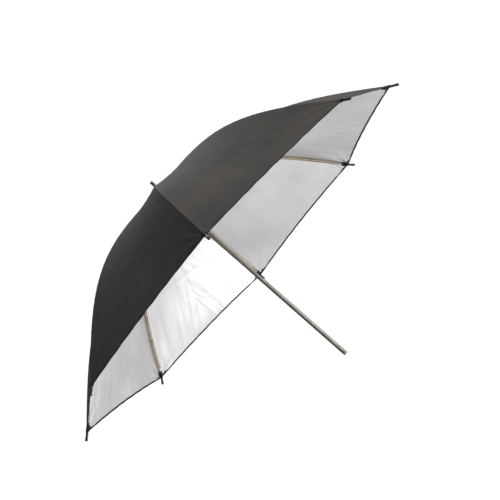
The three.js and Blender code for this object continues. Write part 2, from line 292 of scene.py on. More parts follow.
def moulded_plastic(tree, low, high, rough, texture, depth):
    """Injection-moulded plastic: even colour, the mould's fine texture, and a polish from hands."""
    place = add(tree, "ShaderNodeTexCoord", output="Object")
    grain = add(tree, "ShaderNodeTexNoise", {"Vector": place, "Scale": 1 / texture, "Detail": 4})
    colour = add(tree, "ShaderNodeValToRGB", {"Fac": grain}, ramp=[(0.35, low), (0.65, high)])
    handled = add(tree, "ShaderNodeTexNoise", {"Vector": place, "Scale": 1 / (9 * MM), "Detail": 4})
    polish = add(tree, "ShaderNodeMapRange", {"Value": handled, "To Min": rough[0], "To Max": rough[1]})
    textured = add(tree, "ShaderNodeBump", {"Height": grain, "Distance": depth, "Strength": 0.5})
    return add(tree, "ShaderNodeBsdfPrincipled", {
        "Base Color": colour, "Roughness": polish, "Normal": textured})


def glossy_black_abs(tree):
    # Black ABS from a polished mould: a clear highlight along each tip
    return moulded_plastic(tree, "#050505", "#0a0a0a", (0.26, 0.36), 1.2 * MM, 0.02 * MM)


def charcoal_moulded_nylon(tree):
    # Charcoal glass-filled nylon, as the crown and runner are moulded: waxy and slightly mottled
    return moulded_plastic(tree, "#262524", "#353331", (0.4, 0.55), 0.9 * MM, 0.04 * MM)


def brown_grey_polyethylene(tree):
    # Brown-grey polyethylene plug, dull from sliding in and out of brackets
    return moulded_plastic(tree, "#6e5c4c", "#857360", (0.45, 0.6), 1.4 * MM, 0.04 * MM)


def pale_studio_floor(tree):
    # White paper sweep, matt, and lit evenly from within so that it stays pale under soft light
    place = add(tree, "ShaderNodeTexCoord", output="Object")
    paper = add(tree, "ShaderNodeTexNoise", {"Vector": place, "Scale": 1 / (400 * MM), "Detail": 2})
    colour = add(tree, "ShaderNodeValToRGB", {"Fac": paper}, ramp=[(0.35, "#f3f3f2"), (0.65, "#f7f7f6")])
    return add(tree, "ShaderNodeBsdfPrincipled", {
        "Base Color": colour, "Roughness": 0.9, "Emission Color": (1, 1, 1, 1),
        "Emission Strength": 0.78})


MATERIALS = {finish.__name__: new_material(finish) for finish in (
    black_nylon_cloth, silver_coated_nylon, black_hem_binding, black_sewing_thread,
    satin_nickel_plated_tube, zinc_plated_spring_steel, bright_nickel_plated_ferrule,
    glossy_black_abs, charcoal_moulded_nylon, brown_grey_polyethylene, pale_studio_floor)}


# ---------- mesh helpers ----------

IN_PLACE = Matrix.Identity(4)


def piece(name, mesh, finishes, body, replaced=(), sharp=math.radians(40)):
    """An object that rides on a body, smooth except at edges sharper than sharp."""
    mesh.polygons.foreach_set("use_smooth", [True] * len(mesh.polygons))
    mesh.set_sharp_from_angle(angle=sharp)
    mesh.name = name
    made = bpy.data.objects.new(name, mesh)
    for finish in finishes:
        mesh.materials.append(MATERIALS[finish])
    bpy.context.scene.collection.objects.link(made)
    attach(made, body)
    if replaced:
        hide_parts(*replaced)
    return made


def mesh_from(vertices, faces):
    """A mesh of these corners and faces."""
    made = bpy.data.meshes.new("piece")
    made.from_pydata([tuple(v) for v in vertices], [], faces)
    made.update()
    return made


def joined(parts):
    """One mesh of several, each moved by its matrix, with faces turned outwards."""
    whole = bmesh.new()
    for mesh, matrix in parts:
        mesh = mesh.copy()
        mesh.transform(matrix)
        whole.from_mesh(mesh)
        bpy.data.meshes.remove(mesh)
    bmesh.ops.recalc_face_normals(whole, faces=whole.faces)
    made = bpy.data.meshes.new("piece")
    whole.to_mesh(made)
    whole.free()
    return made


def outward(mesh):
    """The same mesh with its faces turned outwards."""
    return joined([(mesh, IN_PLACE)])


def skin(rings, looped=False):
    """A mesh through rings of points, capped at both ends or looped back to its first ring."""
    count, last = len(rings[0]), len(rings) - 1
    faces = [] if looped else [tuple(reversed(range(count))),
                               tuple(last * count + k for k in range(count))]
    for i in range(last + looped):
        here, there = i * count, (i + 1) % len(rings) * count
        for k in range(count):
            n = (k + 1) % count
            faces.append((here + k, here + n, there + n, there + k))
    return mesh_from([point for ring in rings for point in ring], faces)


def rounded(corners, segments=3):
    """A closed outline with each corner (x, y, radius) replaced by a small arc."""
    outline = []
    count = len(corners)
    for i, (x, y, radius) in enumerate(corners):
        here = Vector((x, y))
        if radius <= 0:
            outline.append(here)
            continue
        before = (Vector(corners[i - 1][:2]) - here).normalized() * radius
        after = (Vector(corners[(i + 1) % count][:2]) - here).normalized() * radius
        for k in range(segments + 1):
            t = k / segments
            outline.append(here + before * (1 - t) ** 2 + after * t**2)
    return outline


def channel(width, depth, wall):
    """A rolled channel's section, (across, up), its web at the top."""
    w, d, bend, lip = width / 2, depth / 2, 0.7 * MM, 0.12 * MM
    inner = w - wall
    return rounded([
        (-w, -d, lip), (-inner, -d, lip), (-inner, d - wall, bend / 3), (inner, d - wall, bend / 3),
        (inner, -d, lip), (w, -d, lip), (w, d, bend), (-w, d, bend)])


def swept(section, stations):
    """A closed section carried along matrices whose x is forward, y across and z up."""
    return skin([[station @ Vector((0, p.x, p.y)) for p in section] for station in stations])


def lathe(profile, sides=48):
    """A turned shape about z. A profile from axis to axis, or one that closes on itself."""
    closed = profile[0] == profile[-1]
    rows = profile[:-1] if closed else profile
    vertices, row_starts = [], []
    for radius, height in rows:
        row_starts.append((len(vertices), radius > 1e-9))
        turns = sides if radius > 1e-9 else 1
        for k in range(turns):
            angle = 2 * math.pi * k / sides
            vertices.append((radius * math.cos(angle), radius * math.sin(angle), height))
    faces = []
    for i in range(len(rows) if closed else len(rows) - 1):
        (a, a_round), (b, b_round) = row_starts[i], row_starts[(i + 1) % len(rows)]
        for k in range(sides):
            n = (k + 1) % sides
            ring = [a + k, a + n] if a_round else [a]
            ring += [b + n, b + k] if b_round else [b]
            if len(ring) > 2:
                faces.append(tuple(ring))
    return outward(mesh_from(vertices, faces))


def plate(outline, holes, thickness, bevel=0.12 * MM):
    """A flat stamping in the XZ plane, centred on y = 0, with softened edges and round holes."""
    curve = bpy.data.curves.new("stamping", "CURVE")
    curve.dimensions, curve.fill_mode = "2D", "BOTH"
    curve.extrude, curve.bevel_depth = thickness / 2 - bevel, bevel
    curve.bevel_resolution, curve.offset = 1, -bevel
    rings = [outline]
    for x, z, radius in holes:
        turns = [2 * math.pi * k / 24 for k in range(24)]
        rings.append([(x + radius * math.cos(a), z + radius * math.sin(a)) for a in turns])
    for ring in rings:
        spline = curve.splines.new("POLY")
        spline.points.add(len(ring) - 1)
        for point, (x, z) in zip(spline.points, ring):
            point.co = (x, z, 0, 1)
        spline.use_cyclic_u = True
    holder = bpy.data.objects.new("stamping", curve)
    bpy.context.scene.collection.objects.link(holder)
    bpy.context.view_layer.update()
    made = bpy.data.meshes.new_from_object(holder.evaluated_get(bpy.context.evaluated_depsgraph_get()))
    bpy.data.objects.remove(holder)
    made.transform(Matrix.Rotation(math.pi / 2, 4, "X"))
    return made


def eye_outline(length, high, eye):
    """A lever with a round eye at the origin, running to x = length."""
    lean = math.asin(min(1.0, high / 2 / eye))
    turns = [lean + (2 * math.pi - 2 * lean) * k / 20 for k in range(21)]
    arc = [(eye * math.cos(a), eye * math.sin(a)) for a in turns]
    return arc + [(length, -high / 2), (length, high / 2)]


def cut(mesh, cutters, bevel=0.0):
    """Cuts meshes out of another, and softens the edges that are left."""
    body = bpy.data.objects.new("body", mesh)
    bpy.context.scene.collection.objects.link(body)
    tools = []
    for cutter in cutters:
        tool = bpy.data.objects.new("tool", cutter)
        bpy.context.scene.collection.objects.link(tool)
        modifier = body.modifiers.new("cut", "BOOLEAN")
        modifier.object, modifier.operation, modifier.solver = tool, "DIFFERENCE", "EXACT"
        tools.append(tool)
    if bevel:
        soften = body.modifiers.new("soften", "BEVEL")
        soften.width, soften.segments, soften.limit_method = bevel, 2, "ANGLE"
        soften.angle_limit = math.radians(50)
    bpy.context.view_layer.update()
    made = bpy.data.meshes.new_from_object(body.evaluated_get(bpy.context.evaluated_depsgraph_get()))
    for used in [body, *tools]:
        bpy.data.objects.remove(used)
    return made


def block(x, y, z, at, turn=0.0):
    """A box as a mesh, turned about z after it is moved."""
    low, high = Vector(at) - Vector((x, y, z)) / 2, Vector(at) + Vector((x, y, z)) / 2
    corners = [(i, j, k) for i in (low.x, high.x) for j in (low.y, high.y) for k in (low.z, high.z)]
    faces = [(0, 1, 3, 2), (4, 6, 7, 5), (0, 4, 5, 1), (2, 3, 7, 6), (0, 2, 6, 4), (1, 5, 7, 3)]
    made = mesh_from(corners, faces)
    made.transform(Matrix.Rotation(turn, 4, "Z"))
    return made


def rod(radius, length, matrix, sides=32, soft=0.15 * MM):
    """A pin along z, centred, with softened ends."""
    half = length / 2
    made = lathe([(0, -half), (radius - soft, -half), (radius, soft - half), (radius, half - soft),
                  (radius - soft, half), (0, half)], sides)
    made.transform(matrix)
    return made


# ---------- the canopy ----------

def gore_point(s, share, gore):
    """A point of the taut cloth in one gore, and its way in. share runs from rib to rib."""
    radius, height, pitch = rib_line(s, CLOTH_INSET)
    start, middle = gore * STEP, gore * STEP + HALF_STEP
    chord = 2 * radius * math.sin(HALF_STEP)
    slack = np.minimum(1, (RIB_LENGTH - s) / TAUT_FROM_HEM)
    sag = PANEL_SAG * chord * 4 * share * (1 - share) * slack * (2 - slack)
    turn = start + STEP * share
    inward = np.stack([-np.sin(pitch) * np.cos(turn), -np.sin(pitch) * np.sin(turn), -np.cos(pitch)], -1)
    dip = np.stack([-np.sin(pitch) * math.cos(middle), -np.sin(pitch) * math.sin(middle),
                    -np.cos(pitch)], -1)
    corner = np.stack([radius * math.cos(start), radius * math.sin(start), height], -1)
    across = np.array([-math.sin(middle), math.cos(middle), 0.0])
    point = corner + across * (chord * share)[..., None] + dip * sag[..., None]
    return point, inward, chord


def noise_at(points, size, seed):
    """Smooth noise at each point, the same on each run, with waves about size metres long."""
    shift = Vector((seed * 7.3, seed * 3.1, seed * 5.7))
    return np.array([noise.noise(Vector(p) / size + shift) for p in points])


def cloth_relief(s, share, gore, point, chord):
    """How far the cloth stands out of its taut form: seams, puckers, pleats and old folds."""
    from_rib = np.minimum(share, 1 - share)
    off_seam = from_rib * chord
    to_hem = RIB_LENGTH - s
    near_rib = 1 - (2 * from_rib) ** 2
    bow = 4 * share * (1 - share)
    rib = np.where(share < 0.5, gore, gore + 1) % RIBS
    # The seam's ridge, and the puckers that its stitches pull
    seam = 0.25 * MM * np.exp(-((off_seam / (1.8 * MM)) ** 2))
    pull = np.sin(2 * math.pi * s / (17 * MM) + 1.7 * rib) * np.sin(2 * math.pi * s / (61 * MM) + rib)
    pucker = 0.12 * MM * pull * np.exp(-off_seam / (14 * MM)) * near_rib
    # The corner rises over the cap, and fans out in small pleats from it
    rise = np.clip(1 - to_hem / (15 * MM), 0, 1)
    over_tip = 1.7 * MM * np.exp(-((off_seam / (4.8 * MM)) ** 2)) * rise
    reach = np.hypot(to_hem, off_seam)
    fan = np.arctan2(off_seam, np.maximum(to_hem, 0.1 * MM))
    corner = 0.7 * MM * np.cos(11 * fan) * near_rib
    corner = corner * np.exp(-reach / (55 * MM)) * (1 - np.exp(-reach / (12 * MM)))
    # Pleats gathered under the washer, and waves along the hem
    pleats = np.cos(2 * math.pi * 5 * share) * np.exp(-np.maximum(s, 0) / (38 * MM))
    gather = 0.5 * MM * pleats * near_rib
    hem = 0.5 * MM * np.sin(2 * math.pi * share * 9 + 2 * gore) * np.exp(-to_hem / (14 * MM)) * bow
    # Slack streaks towards the crown, and broad unevenness
    turn = (gore + share) * STEP
    streak_place = np.stack([np.cos(turn) * 0.4, np.sin(turn) * 0.4, s * 0.22], -1)
    streak = 0.5 * MM * noise_at(streak_place, 26 * MM, 1) * np.clip(s / (100 * MM), 0, 1)
    broad = 0.9 * MM * noise_at(point, 85 * MM, 2)
    calm = (0.15 + 0.85 * bow) * (0.35 + 0.65 * np.clip(to_hem / (60 * MM), 0, 1))
    # Folds left from the packet: two around each gore, and one along the middle of it
    folds = np.zeros_like(s)
    for place, lean in ((0.40, 0.05), (0.66, -0.06)):
        folds = folds + np.exp(-np.abs(s - RIB_LENGTH * (place + lean * (share - 0.5))) / (4 * MM))
    lengthways = np.exp(-np.abs(share - 0.5) * chord / (5 * MM)) * np.clip(s / (150 * MM), 0, 1)
    crease = 0.3 * MM * (folds * bow + 0.7 * lengthways)
    return seam + over_tip + pucker + corner + gather + hem + crease + (streak + broad) * calm


def section_grid(number, along, across):
    """The cloth nearest one rib: outer points, ways in and cloth coordinates on a grid."""
    even = np.linspace(-1, 1, across)
    bunched = even * (0.35 + 0.65 * np.abs(even))       # closest together at the rib's seam
    points, inward, coordinates = [], [], []
    for part in bunched:
        gore, share = (number - 1, part / 2) if part >= 0 else (number - 2, 1 + part / 2)
        hem = RIB_LENGTH - HEM_SCALLOP * 4 * share * (1 - share)
        s = CLOTH_START + np.linspace(0, 1, along) * (hem - CLOTH_START)
        shares = np.full_like(s, share)
        point, way, chord = gore_point(s, shares, gore % RIBS)
        relief = cloth_relief(s, shares, gore % RIBS, point, chord)
        points.append(point - way * relief[:, None])
        inward.append(way)
        coordinates.append(np.stack([chord * part / 2, s], -1))
    return np.array(points), np.array(inward), np.array(coordinates)


def canopy_section(number):
    """Cloth with two faces, black outside and silver inside, cut along the gores' middles."""
    across, along = SECTION_GRID
    outer, inward, coordinates = section_grid(number, along, across)
    inner = outer + inward * CLOTH
    vertices = np.concatenate([outer.reshape(-1, 3), inner.reshape(-1, 3)])
    under = across * along
    faces, silver = [], []
    for i in range(across - 1):
        for k in range(along - 1):
            a, b = i * along + k, (i + 1) * along + k
            faces.append((a, a + 1, b + 1, b))
            faces.append((under + a, under + b, under + b + 1, under + a + 1))
            silver += [False, True]
    for i in range(across - 1):
        for k in (0, along - 1):
            a, b = i * along + k, (i + 1) * along + k
            faces.append((a, b, under + b, under + a) if k == 0 else (b, a, under + a, under + b))
            silver.append(False)
    for k in range(along - 1):
        for i in (0, across - 1):
            a = i * along + k
            quad = (a + 1, a, under + a, under + a + 1)
            faces.append(quad if i == 0 else tuple(reversed(quad)))
            silver.append(False)
    mesh = mesh_from(vertices, faces)
    mesh.polygons.foreach_set("material_index", [int(x) for x in silver])
    layer = mesh.uv_layers.new(name="cloth")
    flat = np.concatenate([coordinates.reshape(-1, 2)] * 2)
    corner_vertices = np.empty(len(mesh.loops), int)
    mesh.loops.foreach_get("vertex_index", corner_vertices)
    layer.data.foreach_set("uv", flat[corner_vertices].astype(np.float32).ravel())
    return mesh


def canopy_hem(number):
    """The binding folded over the hem, and the stitches that hold it, on both sides."""
    across = 97
    rim, inward, _ = section_grid(number, SECTION_GRID[1], across)
    edge, back, way = rim[:, -1], rim[:, -4], inward[:, -1]
    up_cloth = back - edge
    up_cloth /= np.linalg.norm(up_cloth, axis=1)[:, None]
    fold, gap, swell = 0.5 * MM, 0.04 * MM, 0.06 * MM
    profile = [
        (HEM_OUTSIDE, -swell), (HEM_OUTSIDE, -TAPE), (1 * MM, -TAPE - gap), (-fold / 2, -TAPE),
        (-fold, CLOTH / 2), (-fold / 2, CLOTH + TAPE), (1 * MM, CLOTH + TAPE + gap),
        (HEM_INSIDE, CLOTH + TAPE), (HEM_INSIDE, CLOTH + gap), (0.1 * MM, CLOTH + gap),
        (-0.1 * MM, CLOTH / 2), (0.1 * MM, -swell)]
    rings = [[edge[i] + up_cloth[i] * up + way[i] * depth for up, depth in profile]
             for i in range(across)]
    binding = skin(rings)
    # Its outer face is the canopy's own cloth, and the fold and the inner face are the binding
    bound = [int(2 <= k < 10) for _ in rings[1:] for k in range(len(profile))]
    binding.polygons.foreach_set("material_index", [0, 0] + bound)
    lengths = np.concatenate([[0], np.cumsum(np.linalg.norm(np.diff(edge, axis=0), axis=1))])
    stitches = []
    row = HEM_INSIDE - 0.9 * MM
    for depth in (-TAPE - 0.1 * MM, CLOTH + TAPE + 0.1 * MM):
        for place in np.arange(STITCH, lengths[-1] - STITCH, STITCH):
            ends = []
            for at in (place - STITCH * 0.36, place + STITCH * 0.36):
                here, up, inwards = (
                    np.array([np.interp(at, lengths, line[:, j]) for j in range(3)])
                    for line in (edge, up_cloth, way))
                ends.append(Vector(here + up * row + inwards * depth))
            stitches.append((stitch(*ends, 0.16 * MM), IN_PLACE))
    return outward(binding), joined(stitches)


def stitch(start, end, radius):
    """One stitch: a short, plump length of thread."""
    forward = end - start
    turn = forward.to_track_quat("Z", "Y").to_matrix().to_4x4()
    half = forward.length / 2
    made = lathe([(0, -half), (radius, -half * 0.6), (radius, half * 0.6), (0, half)], 6)
    made.transform(Matrix.Translation((start + end) / 2) @ turn)
    return made


def keep_crisp(mesh, vertices):
    """Keeps a line of edges sharp, as where two gores are sewn together."""
    for edge in mesh.edges:
        if vertices.issuperset(edge.vertices):
            edge.use_edge_sharp = True


def make_canopy():
    across, along = SECTION_GRID
    under = across * along
    seam = {side + (across // 2) * along + k for side in (0, under) for k in range(along)}
    for number in range(1, RIBS + 1):
        body, joint = f"rib_arm_{number}", f"rib_{number}_fold"
        cloth = piece(f"canopy_cloth_{number}", canopy_section(number),
                      ["black_nylon_cloth", "silver_coated_nylon"], body,
                      [f"canopy_panel_{number}"], math.radians(60))
        keep_crisp(cloth.data, seam)
        binding, stitches = canopy_hem(number)
        hem = piece(f"canopy_hem_{number}", binding, ["black_nylon_cloth", "black_hem_binding"], body)
        sewing = piece(f"hem_stitching_{number}", stitches, ["black_sewing_thread"], body)
        for part in (cloth, hem, sewing):
            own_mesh(part)


# ---------- the ribs and their tips ----------

def steel_rib():
    """A bent channel with an eye at the crown, and a flat tab that goes into the tip's cap."""
    stations = [on_rib(s, RIB_DROP) for s in np.linspace(TONGUE_REACH, RIB_LENGTH - CAP, 120)]
    bar = swept(channel(RIB_WIDTH, RIB_DEPTH, WALL), stations)
    root = plate(eye_outline(TONGUE_REACH + 8 * MM, 2.8 * MM, 2 * MM), [(0, 0, 0.85 * MM)], TONGUE)
    tab = swept(rounded([(-1.4 * MM, -1 * MM, 0.2 * MM), (1.4 * MM, -1 * MM, 0.2 * MM),
                         (1.4 * MM, 1 * MM, 0.2 * MM), (-1.4 * MM, 1 * MM, 0.2 * MM)]),
                [Matrix.Translation((x * MM, 0, 0)) for x in (-24, -4)])
    return joined([(bar, IN_PLACE), (root, on_rib(0, RIB_DROP)), (tab, at_tip())])


def at_tip():
    """The cap's place on rib 1: a little flatter than the rib, coming up through the cloth."""
    return on_rib(RIB_LENGTH, TIP_DEPTH) @ Matrix.Rotation(-TIP_LIFT, 4, "Y")


def oval(half_width, half_height, sides=28):
    """An ellipse as (across, up)."""
    turns = [2 * math.pi * k / sides for k in range(sides)]
    return [Vector((half_width * math.cos(a), half_height * math.sin(a))) for a in turns]


def rib_tip():
    """The moulded cap that holds the rib's end, sewn to the cloth, and the stub beyond it."""
    sections = [
        (-18, 2.7, 1.6), (-17.8, 3.1, 1.95), (-17, 3.3, 2.1), (-9, 3.3, 2.1), (-3, 3.2, 2.1),
        (-1.2, 2.9, 2.1), (0.2, 2.45, 2.2), (1.6, 2.3, 2.3), (STUB / MM - 6, 2.35, 2.35),
        (STUB / MM - 4.4, 2.55, 2.55), (STUB / MM - 3.2, 2.65, 2.65), (STUB / MM - 1.4, 2.6, 2.6),
        (STUB / MM - 0.5, 2.2, 2.2), (STUB / MM - 0.1, 1.5, 1.5), (STUB / MM, 0.7, 0.7)]
    return outward(skin([[(x * MM, p.x, p.y) for p in oval(half_width * MM, half_height * MM)]
                         for x, half_width, half_height in sections]))


def thread_ring(half_width, half_height, radius):
    """One turn of thread or wire around a rib, a cap or the shaft, in the plane across x."""
    sides, facets = 28, 8
    rings = []
    for k in range(sides):
        angle = 2 * math.pi * k / sides
        out = Vector((0, math.cos(angle), math.sin(angle)))
        centre = Vector((0, half_width * math.cos(angle), half_height * math.sin(angle)))
        twists = [2 * math.pi * j / facets for j in range(facets)]
        rings.append([centre + (out * math.cos(twist) + Vector((1, 0, 0)) * math.sin(twist)) * radius
                      for twist in twists])
    return skin(rings, looped=True)


def tie(half_width, half_height, turns, radius=0.22 * MM):
    """Several turns of thread side by side."""
    ring = thread_ring(half_width, half_height, radius)
    return joined([(ring, Matrix.Translation((k * 1.8 * radius, 0, 0))) for k in range(turns)])


def allowance_half_width(s):
    """Wide enough near the crown to close the gap between folded ribs, and narrow past that."""
    radius, height, _ = rib_line(s)
    folded = CROWN.x + (radius - CROWN.x) * math.cos(FOLD) + (height - CROWN.z) * math.sin(FOLD)
    # Half of a side of the folded octagon, less what the cloth's slope brings inwards
    closing = np.maximum(folded * 0.385 + 0.5 * MM, ALLOWANCE)
    fade = np.clip((s - 150 * MM) / (140 * MM), 0, 1)
    return ALLOWANCE + (closing - ALLOWANCE) * (1 - fade**2 * (3 - 2 * fade))


def seam_allowance(number):
    """The turned edges of two gores, pressed flat against the cloth under their seam."""
    s = np.linspace(8 * MM, RIB_LENGTH - CAP + 2 * MM, 120)
    half = allowance_half_width(s)
    chord = 2 * rib_line(s, CLOTH_INSET)[0] * math.sin(HALF_STEP)
    upper, lower = [], []
    for part in np.linspace(-1, 1, 11):
        gore = number - 1 if part >= 0 else number - 2
        share = part * half / chord + (0 if part >= 0 else 1)
        point, way, _ = gore_point(s, share, gore % RIBS)
        relief = cloth_relief(s, share, gore % RIBS, point, chord)
        upper.append(point + way * (CLOTH + 0.12 * MM - relief)[:, None])
        lower.append(upper[-1] + way * 0.15 * MM)
    rings = np.array(upper + lower[::-1]).transpose(1, 0, 2)
    made = skin(rings)
    silver = [int(k >= len(upper) - 1) for _ in s[1:] for k in range(len(rings[0]))]
    made.polygons.foreach_set("material_index", [0, 0] + silver)
    return outward(made)


def tip_pocket():
    """The hem's corner, folded round the cap and sewn down: a short flattened sleeve."""
    sizes = [(-14.5, 3.5, 2.3), (-14, 4.0, 2.6), (-10, 4.4, 2.75), (-6.6, 4.1, 2.6), (-5.4, 4.1, 2.6),
             (-2.4, 4.3, 2.7), (-1.4, 3.6, 2.35)]
    return outward(skin([[(x * MM, p.x, p.y - 0.25 * MM) for p in oval(half_width * MM, half_height * MM)]
                         for x, half_width, half_height in sizes]))


def make_arms():
    rib, tip, pocket, pin, bar = steel_rib(), rib_tip(), tip_pocket(), rivet(), stretcher()
    tip_place = at_tip()
    cap_sewing = tie(4.25 * MM, 2.75 * MM, 3)
    rib_sewing = tie(RIB_WIDTH / 2 + 0.35 * MM, RIB_DEPTH / 2 + 0.45 * MM, 4)
    for number in range(1, RIBS + 1):
        body, turn = f"rib_arm_{number}", around(number)
        shapes = [
            (f"steel_rib_{number}", rib, IN_PLACE, "zinc_plated_spring_steel",
             "plated_steel", [f"rib_{number}"]),
            (f"moulded_tip_{number}", tip, tip_place, "glossy_black_abs", "black_plastic",
             [f"rib_tip_{number}"]),
            (f"tip_pocket_{number}", pocket, tip_place, "black_hem_binding", "canopy_cloth", []),
            (f"tip_sewing_{number}", cap_sewing,
             tip_place @ Matrix.Translation((-6.4 * MM, 0, -0.25 * MM)), "black_sewing_thread",
             "black_plastic", []),
            (f"domed_rivet_{number}", pin, Matrix.Translation(RIVET), "zinc_plated_spring_steel",
             "plated_steel", [f"stretcher_rivet_{number}"])]
        for mark in (60, 80):
            shapes.append((f"rib_tie_{number}_{mark}", rib_sewing,
                           on_rib(RIB_LENGTH * mark / 100, RIB_DROP), "black_sewing_thread",
                           "black_plastic", []))
        for name, mesh, place, finish, slot, replaced in shapes:
            piece(name, joined([(mesh, turn @ place)]), [finish], body, replaced)
        piece(f"seam_allowance_{number}", seam_allowance(number),
              ["black_nylon_cloth", "silver_coated_nylon"], body)
        piece(f"steel_stretcher_{number}", joined([(bar, turn)]), ["zinc_plated_spring_steel"],
              f"stretcher_arm_{number}", [f"stretcher_{number}"])


def rivet():
    """A pin across the rib with a domed head at each end."""
    half, head, radius = 3.1 * MM, 1.6 * MM, 0.9 * MM
    dome = [(head * math.cos(a), half + 0.12 * MM + 0.38 * MM * math.sin(a))
            for a in (0.0, 0.4, 0.8, 1.2)]
    top = [(radius, half), (head, half), *dome, (0, half + 0.5 * MM)]
    profile = [(r, -z) for r, z in reversed(top)] + top
    made = lathe(profile, 24)
    made.transform(Matrix.Rotation(math.pi / 2, 4, "X"))
    return made


def stretcher():
    """Channel with a fork at the rib's rivet and an eye at the runner's wire, in rib 1's plane."""
    arm = (RUNNER - RIVET).length
    slope = math.atan2(RIVET.z - RUNNER.z, RIVET.x - RUNNER.x)
    depth = STRETCHER_DEPTH
    stations = [Matrix.Translation((x, 0, 0)) for x in (12 * MM, arm - TONGUE_REACH)]
    bar = swept(channel(STRETCHER_WIDTH, depth, WALL), stations)
    ear = plate(eye_outline(14 * MM, 2.6 * MM, 2 * MM), [(0, 0, 1.2 * MM)], WALL)
    tongue = plate(eye_outline(TONGUE_REACH + 5 * MM, 2.6 * MM, 2 * MM), [(0, 0, 0.85 * MM)], TONGUE)
    bridge = swept(rounded([(-2.8 * MM, 0, 0.1 * MM), (2.8 * MM, 0, 0.1 * MM),
                            (2.8 * MM, WALL, 0.3 * MM), (-2.8 * MM, WALL, 0.3 * MM)]),
                   [Matrix.Translation((x * MM, 0, depth / 2 - WALL)) for x in (7, 14)])
    flipped = Matrix.Rotation(math.pi, 4, "Z")
    local = joined([
        (bar, IN_PLACE), (bridge, IN_PLACE),
        (ear, Matrix.Translation((0, 2.5 * MM, 0))), (ear, Matrix.Translation((0, -2.5 * MM, 0))),
        (tongue, Matrix.Translation((arm, 0, 0)) @ flipped)])
    place = Matrix.Translation(RIVET) @ Matrix.Rotation(math.pi - slope, 4, "Y")
    return joined([(local, place)])


# ---------- the shaft, crown and runner ----------

def ring_wire():
    """The wire that the eyes turn on, a ring about the shaft."""
    made = thread_ring(CROWN.x, CROWN.x, 0.5 * MM)
    made.transform(Matrix.Rotation(math.pi / 2, 4, "Y"))
    return made


def shaft_tube():
    """A tube with cross holes for the two pins and a slot for the catch."""
    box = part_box("shaft")
    low, high = box[0][2], box[1][2]
    outer, bore, soft = 4 * MM, 3.4 * MM, 0.2 * MM
    tube = lathe([(bore, low), (outer - soft, low), (outer, low + soft), (outer, high - soft),
                  (outer - soft, high), (bore, high), (bore, low)], 72)
    cutters = []
    for node in ("crown_pin", "runner_stop_pin"):
        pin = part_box(node)
        level = (pin[0][2] + pin[1][2]) / 2
        cross = Matrix.Rotation(HALF_STEP, 4, "Z") @ Matrix.Rotation(math.pi / 2, 4, "X")
        cutters.append(rod(1.0 * MM, 12 * MM, Matrix.Translation((0, 0, level)) @ cross))
    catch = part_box("runner_catch")
    slot_low, slot_high = catch[0][2] + 8 * MM, catch[1][2] + 0.9 * MM
    cutters.append(block(4 * MM, 3 * MM, slot_high - slot_low, (4 * MM, 0, (slot_low + slot_high) / 2),
                         HALF_STEP))
    return cut(tube, cutters)


def ferrule():
    """A turned pin with a collar at its foot, two rings and a rounded end."""
    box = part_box("ferrule")
    low, high = box[0][2], box[1][2]
    base = low + 6 * MM
    pin, collar, edge = 3.05 * MM, 4.6 * MM, 0.6 * MM
    profile = [(0, low), (pin, low), (pin, base), (collar - 0.3 * MM, base), (collar, base + 0.3 * MM),
               (collar, base + 1.1 * MM), (collar - 0.3 * MM, base + 1.4 * MM),
               (pin + 0.25 * MM, base + 1.6 * MM), (pin, base + 1.9 * MM)]
    for level in (4, 5):
        groove = base + level * MM
        profile += [(pin, groove), (pin - 0.2 * MM, groove + 0.15 * MM), (pin, groove + 0.3 * MM)]
    for k in range(7):
        angle = k / 6 * math.pi / 2
        profile.append((pin - edge + edge * math.cos(angle), high - edge + edge * math.sin(angle)))
    return lathe(profile + [(0, high)], 48)


def end_plug():
    """A plug with a rounded end and one ring, its stem inside the tube."""
    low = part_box("shaft_end_plug")[0][2]
    head, top = low + 4.5 * MM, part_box("shaft_end_plug")[1][2]
    profile = [(0, low)]
    for k in range(6):
        angle = k / 5 * math.pi / 2
        profile.append((3.4 * MM + 0.6 * MM * math.sin(angle), low + 0.6 * MM - 0.6 * MM * math.cos(angle)))
    profile += [(4 * MM, head - 1 * MM), (3.85 * MM, head - 0.85 * MM), (3.85 * MM, head - 0.5 * MM),
                (4 * MM, head - 0.35 * MM), (4 * MM, head), (3.1 * MM, head), (3.1 * MM, top), (0, top)]
    return lathe(profile, 48)


def notched(profile, low, lip):
    """A turned ring with a slot for each arm, and softened edges."""
    cutters = [block(7 * MM, 2 * MM, lip - low + 2 * MM, (9.2 * MM, 0, (low + lip) / 2), i * STEP)
               for i in range(RIBS)]
    return cut(lathe(profile, 96), cutters, 0.15 * MM)


def wire_groove(low, bore):
    """A ring's profile, closed, with the groove that its wire lies in at height 0."""
    outer, floor, half, lip = 12 * MM, 7.2 * MM, 0.8 * MM, 1.4 * MM
    return [(bore, low), (outer, low), (outer, -half), (floor, -half), (floor, half), (outer, half),
            (outer, lip), (bore, lip), (bore, low)]


def crown():
    """The top notch: a grooved ring with eight slots, on a short hub."""
    made = notched(wire_groove(-6 * MM, 4.3 * MM), -6 * MM, 1.4 * MM)
    made.transform(Matrix.Translation((0, 0, CROWN.z)))
    return made


